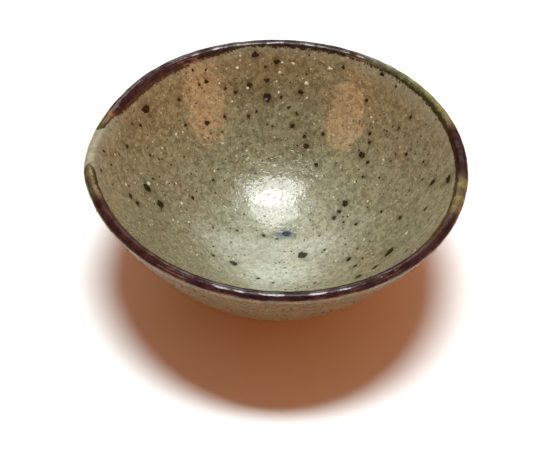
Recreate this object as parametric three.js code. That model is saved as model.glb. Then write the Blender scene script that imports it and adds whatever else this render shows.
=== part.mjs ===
// A wide hand-thrown stoneware tea bowl, in millimetres, standing on its foot ring at z = 0.
// The raw clay is one turned wall on a turned foot ring. Over it lie the glaze coats: one inside, one
// outside, and between them a narrow band over the lip whose glaze changes from stretch to stretch.
// The angles run from +X towards +Y, so the near side, as a drinker holds the bowl, is at 270 degrees.

import * as THREE from 'three';

// Overall sizes, at the lip's mean outline
const rimRadius = 72.5;
const rimHeight = 66;

// Clay wall
const lipThickness = 3.2;
const rimLeanDegrees = 28;
const floorHeight = 11.5;
const insideDish = 0.78;
const hipFullness = 0.42;

// Foot ring
const footTopRadius = 26.5;
const footHeight = 6.5;
const footBottomRadius = 25;
const footWidth = 4.6;
const footEdgeRound = 0.8;
const recessTaper = 1.6;
const recessDepth = 5;

// Glaze coats
const glazeThickness = 0.6;
const glazeEndHeight = 12;
const bandInsideWidth = 1.2;
const bandOutsideDegrees = 10;

// How far the thrown rim runs out of true, and where each lobe or high side points
const ovalAmount = 0.88;
const ovalDegrees = 118;
const lobesAmount = 0.5;
const lobesDegrees = 44;
const tiltAmount = 0.45;
const tiltDegrees = 1;
const rimWaveAmount = 0.29;
const rimWaveDegrees = 74;

// The place where the soft rim was pressed in and down, and the bulge that it left beside it
const dentDegrees = 160;
const dentSpreadDegrees = 21;
const dentDepth = 0.87;
const dentDrop = 1.38;
const bulgeDegrees = 189;
const bulgeSpreadDegrees = 10;
const bulgeAmount = 0.75;

// The unevenness dies away from the rim to the foot
const settling = 1.6;

// Faceting
const stepsAround = 72;
const insideSteps = 8;
const lipSteps = 5;
const shoulderSteps = 2;
const outsideSteps = 7;

const ashGlaze = { color: '#8f8868', roughness: 0.25 };
const brownGlaze = { color: '#7a6145', roughness: 0.3 };
const ironGlaze = { color: '#4a2c2a', roughness: 0.2 };
const amberGlaze = { color: '#8a6a3c', roughness: 0.2 };
const oliveGlaze = { color: '#5f5a34', roughness: 0.2 };
const bareClay = { color: '#8c6f55', roughness: 0.85 };

// The stretches of the lip band, each from the end of the one before it
const lipStretches = [
  { name: 'lip_glaze_tan_right', from: 335, to: 350, glaze: amberGlaze },
  { name: 'lip_glaze_brown_right', from: 350, to: 370, glaze: ironGlaze },
  { name: 'lip_glaze_olive', from: 370, to: 420, glaze: oliveGlaze },
  { name: 'lip_glaze_brown_back', from: 420, to: 520, glaze: ironGlaze },
  { name: 'lip_glaze_amber_left', from: 520, to: 530, glaze: amberGlaze },
  { name: 'lip_glaze_pale_left', from: 530, to: 550, glaze: ashGlaze },
  { name: 'lip_glaze_olive_left', from: 550, to: 560, glaze: oliveGlaze },
  { name: 'lip_glaze_brown_front', from: 560, to: 695, glaze: ironGlaze },
];

const radians = THREE.MathUtils.degToRad;
const fullTurn = 360;

// The thrown wall

// A wave with its crest at the given degrees, repeated count times around the rim
function wave(angle, count, degrees) {
  return Math.cos(count * (angle - radians(degrees)));
}

// A single soft swelling around the given degrees
function swelling(angle, degrees, spreadDegrees) {
  const offset = angle - radians(degrees);
  const turn = Math.atan2(Math.sin(offset), Math.cos(offset));
  return Math.exp(-((turn / radians(spreadDegrees)) ** 2));
}

// Where the hand-thrown wall has the point of the true section at this radius and height
function thrown([radius, height], angle) {
  const climb = Math.max(0, (height - footHeight) / (rimHeight - footHeight)) ** settling;
  const share = climb * Math.min(1, radius / footTopRadius);
  const dent = swelling(angle, dentDegrees, dentSpreadDegrees);
  const outward = ovalAmount * wave(angle, 2, ovalDegrees)
    + lobesAmount * wave(angle, 3, lobesDegrees)
    + bulgeAmount * swelling(angle, bulgeDegrees, bulgeSpreadDegrees)
    - dentDepth * dent;
  const upward = tiltAmount * wave(angle, 1, tiltDegrees)
    + rimWaveAmount * wave(angle, 2, rimWaveDegrees)
    - dentDrop * dent;
  const reach = radius + outward * share;
  return new THREE.Vector3(reach * Math.cos(angle), reach * Math.sin(angle), height + upward * share);
}

// The flat cut at one end of a stretch
function cutFaces(ring, loop, flipped) {
  const outline = loop.map(([radius, height]) => new THREE.Vector2(radius, height));
  return THREE.ShapeUtils.triangulateShape(outline, []).map(([a, b, c]) => (
    flipped ? [ring[a], ring[c], ring[b]] : [ring[a], ring[b], ring[c]]
  ));
}

// The two triangles between neighbouring steps and neighbouring points of the loop. The diagonal starts at
// the point nearer the axis, or else the lower one, so two solids that share a surface split it alike.
function quadFaces(here, there, loop, at, next) {
  const [radiusStep, heightStep] = [loop[next][0] - loop[at][0], loop[next][1] - loop[at][1]];
  if (radiusStep > 0 || (radiusStep === 0 && heightStep > 0)) {
    return [[here[at], there[next], here[next]], [here[at], there[at], there[next]]];
  }
  return [[here[at], there[at], here[next]], [here[next], there[at], there[next]]];
}

// Turns a closed section loop of [radius, height] points, from one angle to another or all the way round
function turned(loop, fromDegrees = 0, toDegrees = fullTurn) {
  const firstStep = Math.round((fromDegrees / fullTurn) * stepsAround);
  const lastStep = Math.round((toDegrees / fullTurn) * stepsAround);
  const ringAt = (step) => {
    const angle = (2 * Math.PI * (step % stepsAround)) / stepsAround;
    return loop.map((point) => thrown(point, angle));
  };
  const faces = [];
  for (let step = firstStep; step < lastStep; step += 1) {
    const [here, there] = [ringAt(step), ringAt(step + 1)];
    loop.forEach((point, at) => faces.push(...quadFaces(here, there, loop, at, (at + 1) % loop.length)));
  }
  if (lastStep - firstStep < stepsAround) {
    faces.push(...cutFaces(ringAt(firstStep), loop, false), ...cutFaces(ringAt(lastStep), loop, true));
  }
  const solid = faces.filter(([a, b, c]) => !a.equals(b) && !b.equals(c) && !c.equals(a));
  const positions = solid.flat().flatMap((corner) => corner.toArray());
  const geometry = new THREE.BufferGeometry();
  geometry.setAttribute('position', new THREE.Float32BufferAttribute(positions, 3));
  geometry.computeVertexNormals();
  return geometry;
}

// The section

const lipRound = lipThickness / 2;
const lipMiddle = [rimRadius - glazeThickness - lipRound, rimHeight - glazeThickness - lipRound];

// A point of the round clay lip, by its angle from straight outwards
function lipPoint(degrees) {
  return [
    lipMiddle[0] + lipRound * Math.cos(radians(degrees)),
    lipMiddle[1] + lipRound * Math.sin(radians(degrees)),
  ];
}

const insideTopDegrees = 180 - rimLeanDegrees;
const outsideTopDegrees = -rimLeanDegrees;
const insideTop = lipPoint(insideTopDegrees);
const outsideTop = lipPoint(outsideTopDegrees);

// The clay inside, from the middle of the floor at 0 to the lip at 1
function insidePoint(share) {
  const rise = insideDish * share ** 2 + (1 - insideDish) * share ** 4;
  return [insideTop[0] * share, floorHeight + (insideTop[1] - floorHeight) * rise];
}

// The clay outside, from the foot at 0 to the lip at 1
function outsidePoint(share) {
  const rise = hipFullness * share + (1 - hipFullness) * share ** 2;
  return [
    footTopRadius + (outsideTop[0] - footTopRadius) * share,
    footHeight + (outsideTop[1] - footHeight) * rise,
  ];
}

// The share of the outside curve at which the clay stands at this height
function outsideShareAt(height) {
  const rise = (height - footHeight) / (outsideTop[1] - footHeight);
  const bend = 1 - hipFullness;
  return (Math.sqrt(hipFullness ** 2 + 4 * bend * rise) - hipFullness) / (2 * bend);
}

// A run of points of one curve, at even steps between two of its values
function run(curve, from, to, steps, skipFirst = false) {
  const points = [];
  for (let step = skipFirst ? 1 : 0; step <= steps; step += 1) {
    points.push(curve(from + ((to - from) * step) / steps));
  }
  return points;
}

// The clay under the glaze: up the inside, over the lip and its shoulder, and down to the glaze's end
const bandInsideShare = 1 - (bandInsideWidth * Math.sin(radians(rimLeanDegrees))) / insideTop[0];
const clayLine = [
  ...run(insidePoint, 0, bandInsideShare, insideSteps),
  ...run(lipPoint, insideTopDegrees, bandOutsideDegrees, lipSteps),
  ...run(lipPoint, bandOutsideDegrees, outsideTopDegrees, shoulderSteps, true),
  ...run(outsidePoint, 1, outsideShareAt(glazeEndHeight), outsideSteps, true),
];
const bandStart = insideSteps;
const bandEnd = bandStart + 1 + lipSteps;

// The same line, moved out of the clay by the glaze's thickness
const glazeLine = clayLine.map(([radius, height], at) => {
  if (at === 0) return [radius, height + glazeThickness];
  const before = clayLine[at - 1];
  const after = clayLine[Math.min(at + 1, clayLine.length - 1)];
  const along = new THREE.Vector2(after[0] - before[0], after[1] - before[1]).setLength(glazeThickness);
  return [radius - along.y, height + along.x];
});

const recessEdge = [footBottomRadius - footWidth - recessTaper, recessDepth];

// The pieces

function clayBody() {
  return turned([[0, recessDepth], recessEdge, outsidePoint(0), ...clayLine.toReversed()]);
}

function footRing() {
  return turned([
    outsidePoint(0),
    recessEdge,
    [footBottomRadius - footWidth - footEdgeRound, footEdgeRound],
    [footBottomRadius - footWidth, 0],
    [footBottomRadius - footEdgeRound, 0],
    [footBottomRadius, footEdgeRound],
  ]);
}

function glazeCoat(from, to, fromDegrees, toDegrees) {
  const under = clayLine.slice(from, to + 1);
  const over = glazeLine.slice(from, to + 1);
  return turned([...under, ...over.toReversed()], fromDegrees, toDegrees);
}

function piece(name, geometry, { color, roughness }) {
  const mesh = new THREE.Mesh(geometry, new THREE.MeshStandardMaterial({ color, roughness, metalness: 0 }));
  mesh.name = name;
  return mesh;
}

const bowl = new THREE.Group();
bowl.add(piece('clay_body', clayBody(), bareClay));
bowl.add(piece('foot_ring', footRing(), bareClay));
bowl.add(piece('inside_glaze', glazeCoat(0, bandStart), ashGlaze));
bowl.add(piece('outside_glaze', glazeCoat(bandEnd, clayLine.length - 1), brownGlaze));
for (const { name, from, to, glaze } of lipStretches) {
  bowl.add(piece(name, glazeCoat(bandStart, bandEnd, from, to), glaze));
}

// The uneven rim's outline is centred over the origin
const middle = new THREE.Box3().setFromObject(bowl).getCenter(new THREE.Vector3());
bowl.position.set(-middle.x, -middle.y, 0);

export default bowl;
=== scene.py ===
"""A wide, hand-thrown stoneware tea bowl in its glazes, on a plain pale floor under soft overhead light."""

import math
import random

import bpy
import numpy as np
from mathutils import Matrix, Vector, noise
from mathutils.bvhtree import BVHTree


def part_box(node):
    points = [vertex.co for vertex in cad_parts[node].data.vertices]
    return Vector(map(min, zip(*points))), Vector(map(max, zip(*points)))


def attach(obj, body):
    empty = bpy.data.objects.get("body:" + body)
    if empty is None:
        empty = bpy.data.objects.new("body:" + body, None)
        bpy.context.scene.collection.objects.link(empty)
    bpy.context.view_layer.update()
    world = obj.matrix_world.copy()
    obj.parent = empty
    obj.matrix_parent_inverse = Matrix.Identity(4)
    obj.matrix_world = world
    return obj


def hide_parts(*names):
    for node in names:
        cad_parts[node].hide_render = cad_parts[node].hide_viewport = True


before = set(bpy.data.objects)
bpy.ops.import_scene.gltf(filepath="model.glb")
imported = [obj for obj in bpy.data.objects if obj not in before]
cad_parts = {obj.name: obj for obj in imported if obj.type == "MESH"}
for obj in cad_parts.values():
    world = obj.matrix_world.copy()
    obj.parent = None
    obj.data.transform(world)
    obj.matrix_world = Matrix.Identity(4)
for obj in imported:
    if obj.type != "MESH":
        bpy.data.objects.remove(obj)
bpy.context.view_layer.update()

bl_info = {
    "name": "Stoneware tea bowl",
    "version": (1, 0, 0),
    "blender": (4, 5, 0),
    "location": "3D View > Sidebar > Tea Bowl",
    "description": "Builds a hand-thrown tea bowl with its glaze coats, and the floor and lights around it",
    "category": "Add Mesh",
}

MM = 0.001
TURN = 2 * math.pi
LIP_NODES = (
    "lip_glaze_tan_right", "lip_glaze_brown_right", "lip_glaze_olive", "lip_glaze_brown_back",
    "lip_glaze_amber_left", "lip_glaze_pale_left", "lip_glaze_olive_left", "lip_glaze_brown_front",
)


def length(name, description, millimetres):
    return bpy.props.FloatProperty(
        name=name, description=description, default=millimetres * MM, unit="LENGTH")


def share(name, description, default):
    return bpy.props.FloatProperty(name=name, description=description, default=default, min=0, max=1)


def fired(red, green, blue):
    """The linear colour of a finish given as it looks, with each part from 0 to 255."""
    parts = (part / 255 for part in (red, green, blue))
    return tuple(part / 12.92 if part <= 0.04045 else ((part + 0.055) / 1.055) ** 2.4 for part in parts)


def color(name, description, *look):
    return bpy.props.FloatVectorProperty(
        name=name, description=description, default=fired(*look), min=0, max=1, subtype="COLOR")


def angular(name, description, degrees):
    return bpy.props.FloatProperty(
        name=name, description=description, default=math.radians(degrees), subtype="ANGLE")


class BowlSizes(bpy.types.PropertyGroup):
    """The bowl's sizes, the same as in the CAD model"""
    rim_radius: length("Rim radius", "Outside radius at the glazed lip", 72.5)
    rim_height: length("Rim height", "Mean height of the glazed lip over the table", 66)
    lip_thickness: length("Lip thickness", "Clay thickness at the lip", 3.2)
    rim_lean: angular("Rim lean", "How far the wall leans out at the rim", 28)
    floor_height: length("Floor height", "Height of the clay floor inside", 11.5)
    inside_dish: share("Inside dish", "Share of the inside curve that is a plain dish", 0.78)
    hip_fullness: share("Hip fullness", "Share of the outside curve that is straight", 0.42)
    foot_top_radius: length("Foot top radius", "Radius where the wall meets the foot", 26.5)
    foot_height: length("Foot height", "Height of the foot ring", 6.5)
    foot_bottom_radius: length("Foot bottom radius", "Outside radius of the foot on the table", 25)
    foot_width: length("Foot width", "Width of the foot ring on the table", 4.6)
    foot_edge: length("Foot edge", "Rounding of the foot's edges", 0.8)
    recess_taper: length("Recess taper", "How much narrower the recess is at its top", 1.6)
    recess_depth: length("Recess depth", "Depth of the recess under the bowl", 5)
    glaze_thickness: length("Glaze thickness", "Thickness of every glaze coat", 0.6)
    glaze_end: length("Glaze end", "Height at which the outside coat stops", 12)
    band_inside: length("Band inside", "How far the lip coat reaches down the inside wall", 1.2)
    band_outside: angular("Band outside", "Where the lip coat ends outside, from straight outwards", 10)


class BowlLooks(bpy.types.PropertyGroup):
    """The colours of the glazes and the clay"""
    ash_green: color("Ash glaze, green", "The greener clouds of the inside glaze", 122, 119, 91)
    ash_brown: color("Ash glaze, brown", "The browner clouds of the inside glaze", 124, 115, 87)
    ash_pool: color("Ash glaze, pooled", "The paler glaze that gathered in the bottom", 158, 158, 135)
    thin_glaze: color("Thin glaze", "The glaze over brown clay outside", 85, 63, 27)
    iron_spot: color("Iron spots", "The dark spots that burn through the glaze", 28, 20, 10)
    feldspar: color("Feldspar grains", "The pale grains in the glaze", 188, 180, 150)
    bare_clay: color("Bare clay", "The fired clay around the foot", 134, 98, 68)


# How far the thrown rim runs out of true, in metres, and where each lobe or high side points, in degrees
OVAL = (0.88 * MM, 118)
LOBES = (0.5 * MM, 44)
TILT = (0.45 * MM, 1)
RIM_WAVE = (0.29 * MM, 74)
# The rim's dent and the bulge beside it: where each is and how far it spreads, in degrees, and its size
DENT_DEGREES, DENT_SPREAD, DENT_DEPTH, DENT_DROP = 160, 21, 0.87 * MM, 1.38 * MM
BULGE_DEGREES, BULGE_SPREAD, BULGE = 189, 10, 0.75 * MM
# The power of the height by which all of these grow from nothing at the foot to their full size at the rim
SETTLING = 1.6

# How finely the bowl is stepped around, and each run of its section and each spot's outline
AROUND = 480
INSIDE_STEPS, BAND_STEPS, LIP_STEPS, SHOULDER_STEPS, OUTSIDE_STEPS = 104, 8, 34, 10, 84
RECESS_STEPS, TRIM_STEPS, SPOT_STEPS = 40, 34, 24
FOOT_EDGE_STEPS, FOOT_INSIDE_STEPS, FOOT_OUTSIDE_STEPS = 9, 14, 16
# A radius that counts as none, and the angle from which an edge is shaded sharp
ON_AXIS = 1e-7
SHARP_FROM = math.radians(50)

# The line where the outside coat stops: slow waves as count, degrees and height, runs that hang below it as
# degrees, spread and drop, where a drop below 0 is a rise, and how thick, far and round the glaze rolls up
END_WAVES = ((2, 30, 0.7 * MM), (5, 11, 0.4 * MM), (13, 4, 0.25 * MM))
END_RUNS = (
    (48, 5, 1.3 * MM), (139, 4, 1.7 * MM), (226, 6, 1.2 * MM), (301, 4, 1.6 * MM), (268, 13, -1.5 * MM))
ROLL_RISE, ROLL_REACH, ROLL_EDGE = 0.6, 2.2 * MM, 0.9 * MM
# How far under that line the clay is darkened with painted shade
PAINTED_SHADE_REACH = 1.6 * MM
# The depth and count of the turning cuts on the bare lower wall
TRIM_DEPTH, TRIM_CUTS = 0.09 * MM, 4.5
# The recess's nub and its turning grooves: heights in millimetres, and reach and spacing by its radius
NUB_HEIGHT, NUB_REACH, GROOVE_HEIGHT, GROOVE_WAVES, GROOVE_START = 0.9, 0.16, 0.12, 34, 5
# A spot's section from its rim inwards, as shares of its reach and height, how far its underside goes down,
# and its stain's share of its width
LENS_RINGS = ((1.0, -0.6), (0.88, 0.3), (0.62, 0.8), (0.3, 1.0))
LENS_BOTTOM = 1.5
STAIN_REACH = 0.62
# The height from which the spots are let down onto the glaze
OVER_THE_BOWL = 0.09


def wave(angle, count, degrees):
    return np.cos(count * (angle - math.radians(degrees)))


def swelling(angle, degrees, spread):
    turn = np.angle(np.exp(1j * (angle - math.radians(degrees))))
    return np.exp(-(turn / math.radians(spread)) ** 2)


def middle_shift():
    """The small shift that centres the uneven rim over the origin, which the true foot's middle shows"""
    low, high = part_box("foot_ring")
    return (low + high) / 2 * Vector((1, 1, 0))


def thrown(sizes, radius, height, angle):
    """Where the hand-thrown wall has the points of the true section: an array of points in space."""
    climb = np.maximum(0, (height - sizes.foot_height) / (sizes.rim_height - sizes.foot_height)) ** SETTLING
    part = climb * np.minimum(1, radius / sizes.foot_top_radius)
    dent = swelling(angle, DENT_DEGREES, DENT_SPREAD)
    outward = (OVAL[0] * wave(angle, 2, OVAL[1]) + LOBES[0] * wave(angle, 3, LOBES[1])
               + BULGE * swelling(angle, BULGE_DEGREES, BULGE_SPREAD) - DENT_DEPTH * dent)
    upward = TILT[0] * wave(angle, 1, TILT[1]) + RIM_WAVE[0] * wave(angle, 2, RIM_WAVE[1]) - DENT_DROP * dent
    reach = radius + outward * part
    points = np.stack([reach * np.cos(angle), reach * np.sin(angle), height + upward * part], axis=-1)
    return points + np.array(middle_shift())


class Section:
    """The bowl's true section all the way round: one column of points for each step around.

    clay and glaze hold radius and height, lean the outward normal, and down the distance from the lip's top
    along the glaze, which is less than 0 outside.
    """

    def __init__(self, sizes):
        self.sizes = sizes
        self.angle = np.arange(AROUND) * TURN / AROUND
        self.round = sizes.lip_thickness / 2
        self.inside_top = self.lip(math.pi - sizes.rim_lean)
        self.outside_top = self.lip(-sizes.rim_lean)
        band = 1 - sizes.band_inside * math.sin(sizes.rim_lean) / self.inside_top[0]
        end = self.outside_share(sizes.glaze_end + self.glaze_end_wander())
        runs = [
            self.inside(band * np.arange(INSIDE_STEPS) / INSIDE_STEPS),
            self.inside(np.linspace(band, 1, BAND_STEPS, endpoint=False)),
            self.lip(np.linspace(math.pi - sizes.rim_lean, sizes.band_outside, LIP_STEPS, endpoint=False)),
            self.lip(np.linspace(sizes.band_outside, -sizes.rim_lean, SHOULDER_STEPS, endpoint=False)),
        ]
        columns = [np.repeat(np.stack(run)[:, :, None], AROUND, axis=2) for run in runs]
        down_wall = np.linspace(0, 1, OUTSIDE_STEPS + 1)[:, None]
        columns.append(np.stack(self.outside(1 - (1 - end[None, :]) * down_wall)))
        self.clay = np.concatenate(columns, axis=1)
        start, stop, last = INSIDE_STEPS, INSIDE_STEPS + BAND_STEPS + LIP_STEPS, self.clay.shape[1] - 1
        self.coats = {"inside_coat": (0, start), "lip_band": (start, stop), "outside_coat": (stop, last)}
        along = np.gradient(self.clay, axis=1)
        along /= np.linalg.norm(along, axis=0)
        self.lean = np.stack([-along[1], along[0]])
        self.lean[:, 0] = [[0], [1]]
        self.glaze = self.clay + self.lean * self.coat_thickness()
        steps = np.linalg.norm(np.diff(self.glaze, axis=1), axis=0)
        run = np.concatenate([np.zeros((1, AROUND)), np.cumsum(steps, axis=0)])
        self.down = run[np.argmax(self.glaze[1], axis=0), np.arange(AROUND)] - run

    def lip(self, angle):
        middle_radius = self.sizes.rim_radius - self.sizes.glaze_thickness - self.round
        middle_height = self.sizes.rim_height - self.sizes.glaze_thickness - self.round
        return middle_radius + self.round * np.cos(angle), middle_height + self.round * np.sin(angle)

    def inside(self, part):
        sizes = self.sizes
        rise = sizes.inside_dish * part ** 2 + (1 - sizes.inside_dish) * part ** 4
        depth = self.inside_top[1] - sizes.floor_height
        return self.inside_top[0] * part, sizes.floor_height + depth * rise

    def outside(self, part):
        sizes = self.sizes
        rise = sizes.hip_fullness * part + (1 - sizes.hip_fullness) * part ** 2
        return (sizes.foot_top_radius + (self.outside_top[0] - sizes.foot_top_radius) * part,
                sizes.foot_height + (self.outside_top[1] - sizes.foot_height) * rise)

    def outside_share(self, height):
        """The share of the outside curve at which the clay stands at this height"""
        hip = self.sizes.hip_fullness
        rise = (height - self.sizes.foot_height) / (self.outside_top[1] - self.sizes.foot_height)
        return (np.sqrt(hip ** 2 + 4 * (1 - hip) * rise) - hip) / (2 * (1 - hip))

    def glaze_end_wander(self):
        """The uneven line at which the outside coat stops, with a few short runs below it"""
        waves = sum(height * wave(self.angle, count, degrees) for count, degrees, height in END_WAVES)
        return waves - sum(drop * swelling(self.angle, degrees, spread) for degrees, spread, drop in END_RUNS)

    def coat_thickness(self):
        """The coat's thickness, rolled thick and round where it ends above the foot"""
        to_end = np.linalg.norm(self.clay - self.clay[:, -1:], axis=0)
        roll = 1 + ROLL_RISE * np.exp(-(to_end / ROLL_REACH) ** 2)
        edge = np.sqrt(1 - (1 - np.clip(to_end / ROLL_EDGE, 0, 1)) ** 2)
        return self.sizes.glaze_thickness * roll * edge

    def shell(self, name):
        """The closed section of one coat, and the marks that its glaze reads"""
        first, last = self.coats[name]
        under, over = self.clay[:, first:last + 1], self.glaze[:, first:last + 1][:, ::-1]
        lean = self.lean[:, first:last + 1]
        down = self.down[first:last + 1]
        outer = np.concatenate([np.zeros_like(down), np.ones_like(down)])
        return (np.concatenate([under, over], axis=1),
                np.concatenate([lean, lean[:, ::-1]], axis=1),
                np.concatenate([down, down[::-1]]), outer)


def mark(mesh, name, *values):
    """Keeps a value, a vector's three or a colour's four at each point of the mesh, for nodes to read."""
    kinds = {1: ("FLOAT", "value"), 3: ("FLOAT_VECTOR", "vector"), 4: ("FLOAT_COLOR", "color")}
    kind, field = kinds[len(values)]
    layer = mesh.attributes.new(name, kind, "POINT")
    layer.data.foreach_set(field, np.stack(values, axis=-1).astype(np.float32).ravel())


def new_piece(name, verts, faces):
    mesh = bpy.data.meshes.new(name)
    mesh.from_pydata(verts, [], faces)
    mesh.shade_smooth()
    piece = bpy.data.objects.new(name, mesh)
    bpy.context.collection.objects.link(piece)
    return piece


def turned(name, sizes, section, lean=None, down=None, outer=None):
    """A closed mesh from a section loop of shape (2, points, around), turned through the hand-thrown wall."""
    count = section.shape[1]
    angle = np.arange(AROUND) * TURN / AROUND
    points = thrown(sizes, section[0], section[1], angle[None, :])
    on_axis = section[0].max(axis=1) < ON_AXIS
    ring_sizes = np.where(on_axis, 1, AROUND)
    starts = np.cumsum(ring_sizes) - ring_sizes
    rows = [[start] * AROUND if single else list(range(start, start + AROUND))
            for start, single in zip(starts.tolist(), on_axis)]
    at_row = np.repeat(np.arange(count), ring_sizes)
    steps = np.concatenate([np.arange(size) for size in ring_sizes])
    faces = []
    for at in range(count):
        here, there = rows[at], rows[(at + 1) % count]
        if on_axis[at] and on_axis[(at + 1) % count]:
            continue
        for turn in range(AROUND):
            step = (turn + 1) % AROUND
            corners = (here[turn], here[step], there[step], there[turn])
            faces.append(tuple(dict.fromkeys(corners)))
    piece = new_piece(name, points[at_row, steps].tolist(), faces)
    piece.data.set_sharp_from_angle(angle=SHARP_FROM)
    if lean is not None:
        at = (at_row, steps)
        mark_wall(piece.data, sizes, angle[steps], lean[:, at_row, steps], down[at], outer[at])
    return piece


# The lip band by degrees around the rim: how far it reaches inside and outside, in millimetres, its colour on
# top and at its outer edge, how strongly its inner line shows and how wide it is, how strongly its outer line
# shows, and how far its pale halo spreads
DEGREES, INSIDE, OUTSIDE, ON_TOP, AT_EDGE, INNER_LINE, LINE_WIDTH, OUTER_LINE, HALO = range(9)
LIP_BAND = (
    (0, 3.6, 3.0, (54, 30, 27), (54, 34, 37), 0.6, 0.8, 0.0, 0.5),
    (12, 3.5, 3.0, (58, 34, 28), (58, 38, 36), 0.8, 1.0, 0.0, 0.7),
    (15.5, 3.3, 2.9, (112, 102, 60), (124, 120, 66), 1.0, 1.8, 0.0, 1.1),
    (20, 3.2, 2.9, (112, 106, 62), (124, 125, 62), 1.0, 1.9, 0.0, 1.2),
    (30, 3.1, 2.9, (106, 108, 64), (122, 131, 66), 1.0, 1.8, 0.0, 1.3),
    (42, 3.1, 2.9, (104, 108, 70), (124, 133, 74), 1.0, 1.3, 0.0, 1.3),
    (55, 3.0, 2.9, (96, 98, 70), (112, 120, 78), 1.0, 1.1, 0.0, 1.2),
    (60, 3.2, 2.9, (70, 62, 46), (80, 72, 54), 0.9, 0.9, 0.0, 1.0),
    (65, 3.1, 3.0, (54, 42, 34), (52, 40, 38), 0.7, 0.9, 0.0, 0.8),
    (80, 3.3, 3.0, (54, 40, 34), (52, 40, 38), 0.7, 0.8, 0.0, 0.7),
    (94, 3.1, 3.0, (54, 40, 34), (52, 40, 38), 0.7, 0.8, 0.0, 0.7),
    (98, 2.5, 3.0, (62, 50, 36), (54, 40, 38), 0.8, 0.8, 0.0, 0.8),
    (104, 2.7, 3.0, (62, 50, 36), (54, 40, 38), 0.8, 0.8, 0.0, 0.8),
    (112, 3.9, 3.0, (58, 40, 38), (54, 38, 40), 0.7, 0.8, 0.0, 0.7),
    (122, 4.7, 3.0, (62, 42, 42), (56, 40, 42), 0.7, 0.8, 0.0, 0.6),
    (138, 5.2, 3.0, (66, 44, 46), (58, 42, 44), 0.8, 0.8, 0.0, 0.5),
    (150, 5.4, 3.0, (66, 42, 46), (58, 40, 42), 0.9, 0.9, 0.0, 0.5),
    (156, 4.8, 3.0, (62, 38, 40), (54, 36, 38), 0.9, 0.8, 0.0, 0.5),
    (159.5, 3.8, 3.0, (60, 38, 32), (56, 36, 32), 1.0, 0.6, 0.0, 0.6),
    (161, 2.4, 3.0, (142, 98, 54), (120, 82, 44), 0.6, 0.5, 0.0, 1.0),
    (163.5, 2.2, 3.0, (120, 88, 48), (98, 78, 38), 0.8, 0.6, 0.0, 1.2),
    (166, 1.8, 3.0, (84, 72, 38), (84, 84, 38), 0.9, 0.6, 0.2, 1.5),
    (169, 1.4, 3.0, (84, 76, 44), (82, 88, 42), 0.8, 0.6, 0.4, 1.8),
    (172, -2.4, -2.0, (140, 138, 114), (140, 138, 114), 0.2, 0.6, 0.0, 2.2),
    (185, -2.4, -2.0, (146, 148, 126), (146, 148, 126), 0.2, 0.6, 0.0, 2.2),
    (189.5, 3.0, 3.0, (142, 130, 96), (98, 94, 58), 1.0, 1.9, 0.8, 1.3),
    (199.5, 3.2, 3.0, (140, 124, 88), (92, 84, 52), 1.0, 1.9, 0.9, 0.9),
    (204.5, 3.4, 3.0, (78, 56, 42), (64, 38, 33), 0.8, 1.2, 0.4, 0.5),
    (235, 3.4, 3.0, (72, 50, 40), (64, 36, 34), 0.7, 1.0, 0.0, 0.5),
    (270, 3.4, 3.0, (44, 28, 29), (50, 31, 35), 0.6, 0.8, 0.0, 0.5),
    (305, 3.4, 3.0, (68, 48, 40), (58, 36, 36), 0.7, 1.0, 0.0, 0.5),
    (333, 3.5, 3.0, (84, 64, 46), (62, 42, 36), 0.8, 1.2, 0.0, 0.5),
    (338, 3.8, 2.9, (134, 124, 84), (120, 108, 72), 0.85, 2.0, 0.0, 0.6),
    (349, 3.8, 2.9, (132, 120, 80), (118, 106, 70), 0.85, 2.0, 0.0, 0.6),
    (353, 3.7, 3.0, (54, 31, 27), (54, 34, 36), 0.8, 1.0, 0.0, 0.5),
)


def around_rim(degrees, column, part=None):
    """A column of the lip band's table at any degrees around the rim, or one part of its colour"""
    values = [row[column] if part is None else fired(*row[column])[part] for row in LIP_BAND]
    return np.interp(degrees, [row[DEGREES] for row in LIP_BAND], values, period=360)


def mark_wall(mesh, sizes, turn, lean, down, outer):
    """Marks each point with its lean, its place down the wall, and the lip band's reach and colour there."""
    degrees, fall, rim = np.degrees(turn), down / MM, sizes.rim_radius / MM
    full = np.ones(len(turn))
    mark(mesh, "outer", outer)
    mark(mesh, "lean", lean[0] * np.cos(turn), lean[0] * np.sin(turn), lean[1])
    mark(mesh, "flow", rim * np.cos(turn), rim * np.sin(turn), fall)
    mark(mesh, "inward", around_rim(degrees, INSIDE) - fall)
    mark(mesh, "outward", around_rim(degrees, OUTSIDE) + fall)
    for name, column in (("band_tint", ON_TOP), ("band_edge", AT_EDGE)):
        mark(mesh, name, *(around_rim(degrees, column, part) for part in range(3)), full)
    lines = (INNER_LINE, OUTER_LINE, HALO)
    mark(mesh, "band_lines", *(around_rim(degrees, column) for column in lines), full)
    mark(mesh, "line_width", around_rim(degrees, LINE_WIDTH))


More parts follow.
